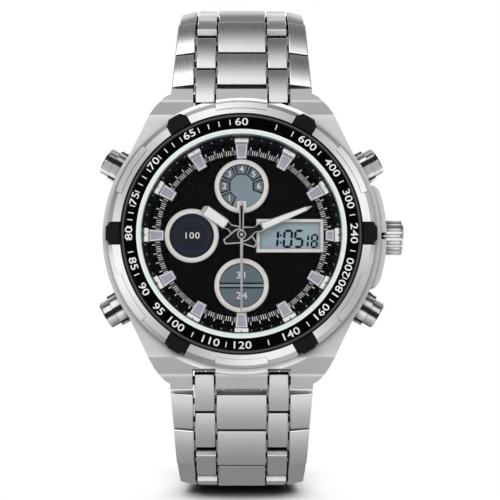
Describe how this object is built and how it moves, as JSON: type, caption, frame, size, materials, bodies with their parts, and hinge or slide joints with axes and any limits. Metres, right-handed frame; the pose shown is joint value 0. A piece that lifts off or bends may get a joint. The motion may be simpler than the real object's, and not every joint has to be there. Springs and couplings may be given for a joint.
{
  "type": "ana-digi wristwatch",
  "caption": "Round steel wristwatch with hands and a small digital display, black scale ring, four pushers, crown, and a closed link bracelet with a folding clasp.",
  "frame": {"origin": "centre of the case back's outer face, which lies on the wrist", "axes": "+X to 3 o'clock and the crown, +Z to 12 o'clock, +Y out of the case back towards the wrist; the dial faces -Y"},
  "size_m": [0.0518, 0.0615, 0.0842],
  "materials": {
    "brushed_case": "satin",
    "brushed_links": "satin",
    "polished_steel": "polished",
    "black_studs": "gloss",
    "black_scale": "gloss with white numbers",
    "crystal_glass": "clear",
    "gasket_pale": "satin",
    "flange_black": "satin with white ticks",
    "dial_black": "satin with white ticks",
    "marker_silver": "polished",
    "subdial_grey": "satin",
    "display_grey": "liquid crystal display",
    "lume_white": "matte",
    "hand_metal": "polished",
    "module_plastic": "moulded",
    "board_green": "circuit board",
    "coil_copper": "enamelled wire",
    "brass_wheels": "machined",
    "rubber_black": "matte"
  },
  "bodies": {
    "case": {"case_middle": "brushed_case", "lug_bars": "polished_steel", "case_back": "brushed_case", "back_gasket": "rubber_black", "bezel": "polished_steel", "bezel_studs": "black_studs", "scale_ring": "black_scale", "crystal": "crystal_glass", "crystal_gasket": "gasket_pale", "flange_ring": "flange_black", "dial": "dial_black", "subdial_rings": "polished_steel", "subdial_discs": "subdial_grey", "display_frame": "polished_steel", "display_panel": "display_grey", "hour_markers": "marker_silver", "button_tubes": "polished_steel", "module_frame": "module_plastic", "circuit_board": "board_green", "coin_cell": "polished_steel", "drive_coil": "coil_copper"},
    "hour_hand": {"hour_hand": "hand_metal", "hour_lume": "lume_white", "hour_wheel": "brass_wheels"},
    "minute_hand": {"minute_hand": "hand_metal", "minute_lume": "lume_white", "minute_wheel": "brass_wheels"},
    "seconds_hand": {"seconds_hand": "hand_metal", "seconds_wheel": "brass_wheels"},
    "crown_slide": {"crown_seal": "rubber_black"},
    "crown": {"crown": "polished_steel", "crown_stem": "polished_steel"},
    "pusher_2": {"pusher_2": "polished_steel"},
    "pusher_4": {"pusher_4": "polished_steel"},
    "pusher_8": {"pusher_8": "polished_steel"},
    "pusher_10": {"pusher_10": "polished_steel"},
    "link_12_01": {"link_12_01": "brushed_links"},
    "link_12_02": {"link_12_02": "brushed_links"},
    "link_12_03": {"link_12_03": "brushed_links"},
    "link_12_04": {"link_12_04": "brushed_links"},
    "link_12_05": {"link_12_05": "brushed_links"},
    "link_12_06": {"link_12_06": "brushed_links"},
    "link_12_07": {"link_12_07": "brushed_links"},
    "link_12_08": {"link_12_08": "brushed_links"},
    "link_12_09": {"link_12_09": "brushed_links"},
    "link_12_10": {"link_12_10": "brushed_links"},
    "link_6_01": {"link_6_01": "brushed_links"},
    "link_6_02": {"link_6_02": "brushed_links"},
    "link_6_03": {"link_6_03": "brushed_links"},
    "link_6_04": {"link_6_04": "brushed_links"},
    "link_6_05": {"link_6_05": "brushed_links"},
    "link_6_06": {"link_6_06": "brushed_links"},
    "link_6_07": {"link_6_07": "brushed_links"},
    "link_6_08": {"link_6_08": "brushed_links"},
    "link_6_09": {"link_6_09": "brushed_links"},
    "link_6_10": {"link_6_10": "brushed_links"},
    "clasp_base": {"clasp_base": "polished_steel"},
    "clasp_blade": {"clasp_blade": "polished_steel"},
    "clasp_cover": {"clasp_cover": "brushed_links"},
    "clasp_latch": {"clasp_latch": "polished_steel"}
  },
  "joints": [
    {"name": "seconds_turn", "type": "hinge", "parent": "case", "child": "seconds_hand", "pos_m": [0, -0.01, 0], "axis": [0, 1, 0], "continuous": true},
    {"name": "minute_turn", "type": "hinge", "parent": "case", "child": "minute_hand", "pos_m": [0, -0.01, 0], "axis": [0, 1, 0], "continuous": true},
    {"name": "hour_turn", "type": "hinge", "parent": "case", "child": "hour_hand", "pos_m": [0, -0.01, 0], "axis": [0, 1, 0], "continuous": true},
    {"name": "crown_pull", "type": "slide", "parent": "case", "child": "crown_slide", "axis": [1, 0, 0], "range_m": [0, 0.0015]},
    {"name": "crown_turn", "type": "hinge", "parent": "crown_slide", "child": "crown", "pos_m": [0.024, -0.0054, 0], "axis": [1, 0, 0], "continuous": true},
    {"name": "pusher_2_press", "type": "slide", "parent": "case", "child": "pusher_2", "axis": [-0.866, 0, -0.5], "range_m": [0, 0.0008], "stiffness_N_per_m": 300, "springref_m": -0.001},
    {"name": "pusher_4_press", "type": "slide", "parent": "case", "child": "pusher_4", "axis": [-0.866, 0, 0.5], "range_m": [0, 0.0008], "stiffness_N_per_m": 300, "springref_m": -0.001},
    {"name": "pusher_8_press", "type": "slide", "parent": "case", "child": "pusher_8", "axis": [0.866, 0, 0.5], "range_m": [0, 0.0008], "stiffness_N_per_m": 300, "springref_m": -0.001},
    {"name": "pusher_10_press", "type": "slide", "parent": "case", "child": "pusher_10", "axis": [0.866, 0, -0.5], "range_m": [0, 0.0008], "stiffness_N_per_m": 300, "springref_m": -0.001},
    {"name": "link_12_01_bend", "type": "hinge", "parent": "case", "child": "link_12_01", "pos_m": [0, -0.0042, 0.0243], "axis": [1, 0, 0], "range_deg": [0, 22]},
    {"name": "link_12_02_bend", "type": "hinge", "parent": "link_12_01", "child": "link_12_02", "pos_m": [0, -0.00184, 0.03078], "axis": [1, 0, 0], "range_deg": [0, 7]},
    {"name": "link_12_03_bend", "type": "hinge", "parent": "link_12_02", "child": "link_12_03", "pos_m": [0, 0.00049, 0.03685], "axis": [1, 0, 0], "range_deg": [0, 42]},
    {"name": "link_12_04_bend", "type": "hinge", "parent": "link_12_03", "child": "link_12_04", "pos_m": [0, 0.00594, 0.04039], "axis": [1, 0, 0], "range_deg": [0, 36]},
    {"name": "link_12_05_bend", "type": "hinge", "parent": "link_12_04", "child": "link_12_05", "pos_m": [0, 0.01243, 0.04073], "axis": [1, 0, 0], "range_deg": [0, 17]},
    {"name": "link_12_06_bend", "type": "hinge", "parent": "link_12_05", "child": "link_12_06", "pos_m": [0, 0.01887, 0.03983], "axis": [1, 0, 0], "range_deg": [0, 16]},
    {"name": "link_12_07_bend", "type": "hinge", "parent": "link_12_06", "child": "link_12_07", "pos_m": [0, 0.02505, 0.03782], "axis": [1, 0, 0], "range_deg": [0, 17]},
    {"name": "link_12_08_bend", "type": "hinge", "parent": "link_12_07", "child": "link_12_08", "pos_m": [0, 0.03074, 0.03467], "axis": [1, 0, 0], "range_deg": [0, 18]},
    {"name": "link_12_09_bend", "type": "hinge", "parent": "link_12_08", "child": "link_12_09", "pos_m": [0, 0.03564, 0.0304], "axis": [1, 0, 0], "range_deg": [0, 18]},
    {"name": "link_12_10_bend", "type": "hinge", "parent": "link_12_09", "child": "link_12_10", "pos_m": [0, 0.03955, 0.02521], "axis": [1, 0, 0], "range_deg": [0, 18]},
    {"name": "link_6_01_bend", "type": "hinge", "parent": "case", "child": "link_6_01", "pos_m": [0, -0.0042, -0.0243], "axis": [-1, 0, 0], "range_deg": [0, 22]},
    {"name": "link_6_02_bend", "type": "hinge", "parent": "link_6_01", "child": "link_6_02", "pos_m": [0, -0.00184, -0.03078], "axis": [-1, 0, 0], "range_deg": [0, 7]},
    {"name": "link_6_03_bend", "type": "hinge", "parent": "link_6_02", "child": "link_6_03", "pos_m": [0, 0.00049, -0.03685], "axis": [-1, 0, 0], "range_deg": [0, 42]},
    {"name": "link_6_04_bend", "type": "hinge", "parent": "link_6_03", "child": "link_6_04", "pos_m": [0, 0.00594, -0.04039], "axis": [-1, 0, 0], "range_deg": [0, 36]},
    {"name": "link_6_05_bend", "type": "hinge", "parent": "link_6_04", "child": "link_6_05", "pos_m": [0, 0.01243, -0.04073], "axis": [-1, 0, 0], "range_deg": [0, 17]},
    {"name": "link_6_06_bend", "type": "hinge", "parent": "link_6_05", "child": "link_6_06", "pos_m": [0, 0.01887, -0.03983], "axis": [-1, 0, 0], "range_deg": [0, 16]},
    {"name": "link_6_07_bend", "type": "hinge", "parent": "link_6_06", "child": "link_6_07", "pos_m": [0, 0.02505, -0.03782], "axis": [-1, 0, 0], "range_deg": [0, 17]},
    {"name": "link_6_08_bend", "type": "hinge", "parent": "link_6_07", "child": "link_6_08", "pos_m": [0, 0.03074, -0.03467], "axis": [-1, 0, 0], "range_deg": [0, 18]},
    {"name": "link_6_09_bend", "type": "hinge", "parent": "link_6_08", "child": "link_6_09", "pos_m": [0, 0.03564, -0.0304], "axis": [-1, 0, 0], "range_deg": [0, 18]},
    {"name": "link_6_10_bend", "type": "hinge", "parent": "link_6_09", "child": "link_6_10", "pos_m": [0, 0.03955, -0.02521], "axis": [-1, 0, 0], "range_deg": [0, 18]},
    {"name": "clasp_base_bend", "type": "hinge", "parent": "link_12_10", "child": "clasp_base", "pos_m": [0, 0.0423, 0.01932], "axis": [1, 0, 0], "range_deg": [0, 18]},
    {"name": "clasp_blade_open", "type": "hinge", "parent": "clasp_base", "child": "clasp_blade", "pos_m": [0, 0.04303, -0.015], "axis": [-1, 0, 0], "range_deg": [0, 130]},
    {"name": "clasp_cover_open", "type": "hinge", "parent": "clasp_blade", "child": "clasp_cover", "pos_m": [0, 0.04414, 0.0162], "axis": [1, 0, 0], "range_deg": [0, 130]},
    {"name": "latch_open", "type": "hinge", "parent": "clasp_cover", "child": "clasp_latch", "pos_m": [0, 0.04553, -0.0095], "axis": [-1, 0, 0], "range_deg": [0, 90]}
  ],
  "couplings": [
    {"joint": "minute_turn", "follows": "seconds_turn", "ratio": 0.016667},
    {"joint": "hour_turn", "follows": "seconds_turn", "ratio": 0.0013889},
    {"joint": "clasp_cover_open", "follows": "clasp_blade_open", "ratio": 1}
  ]
}
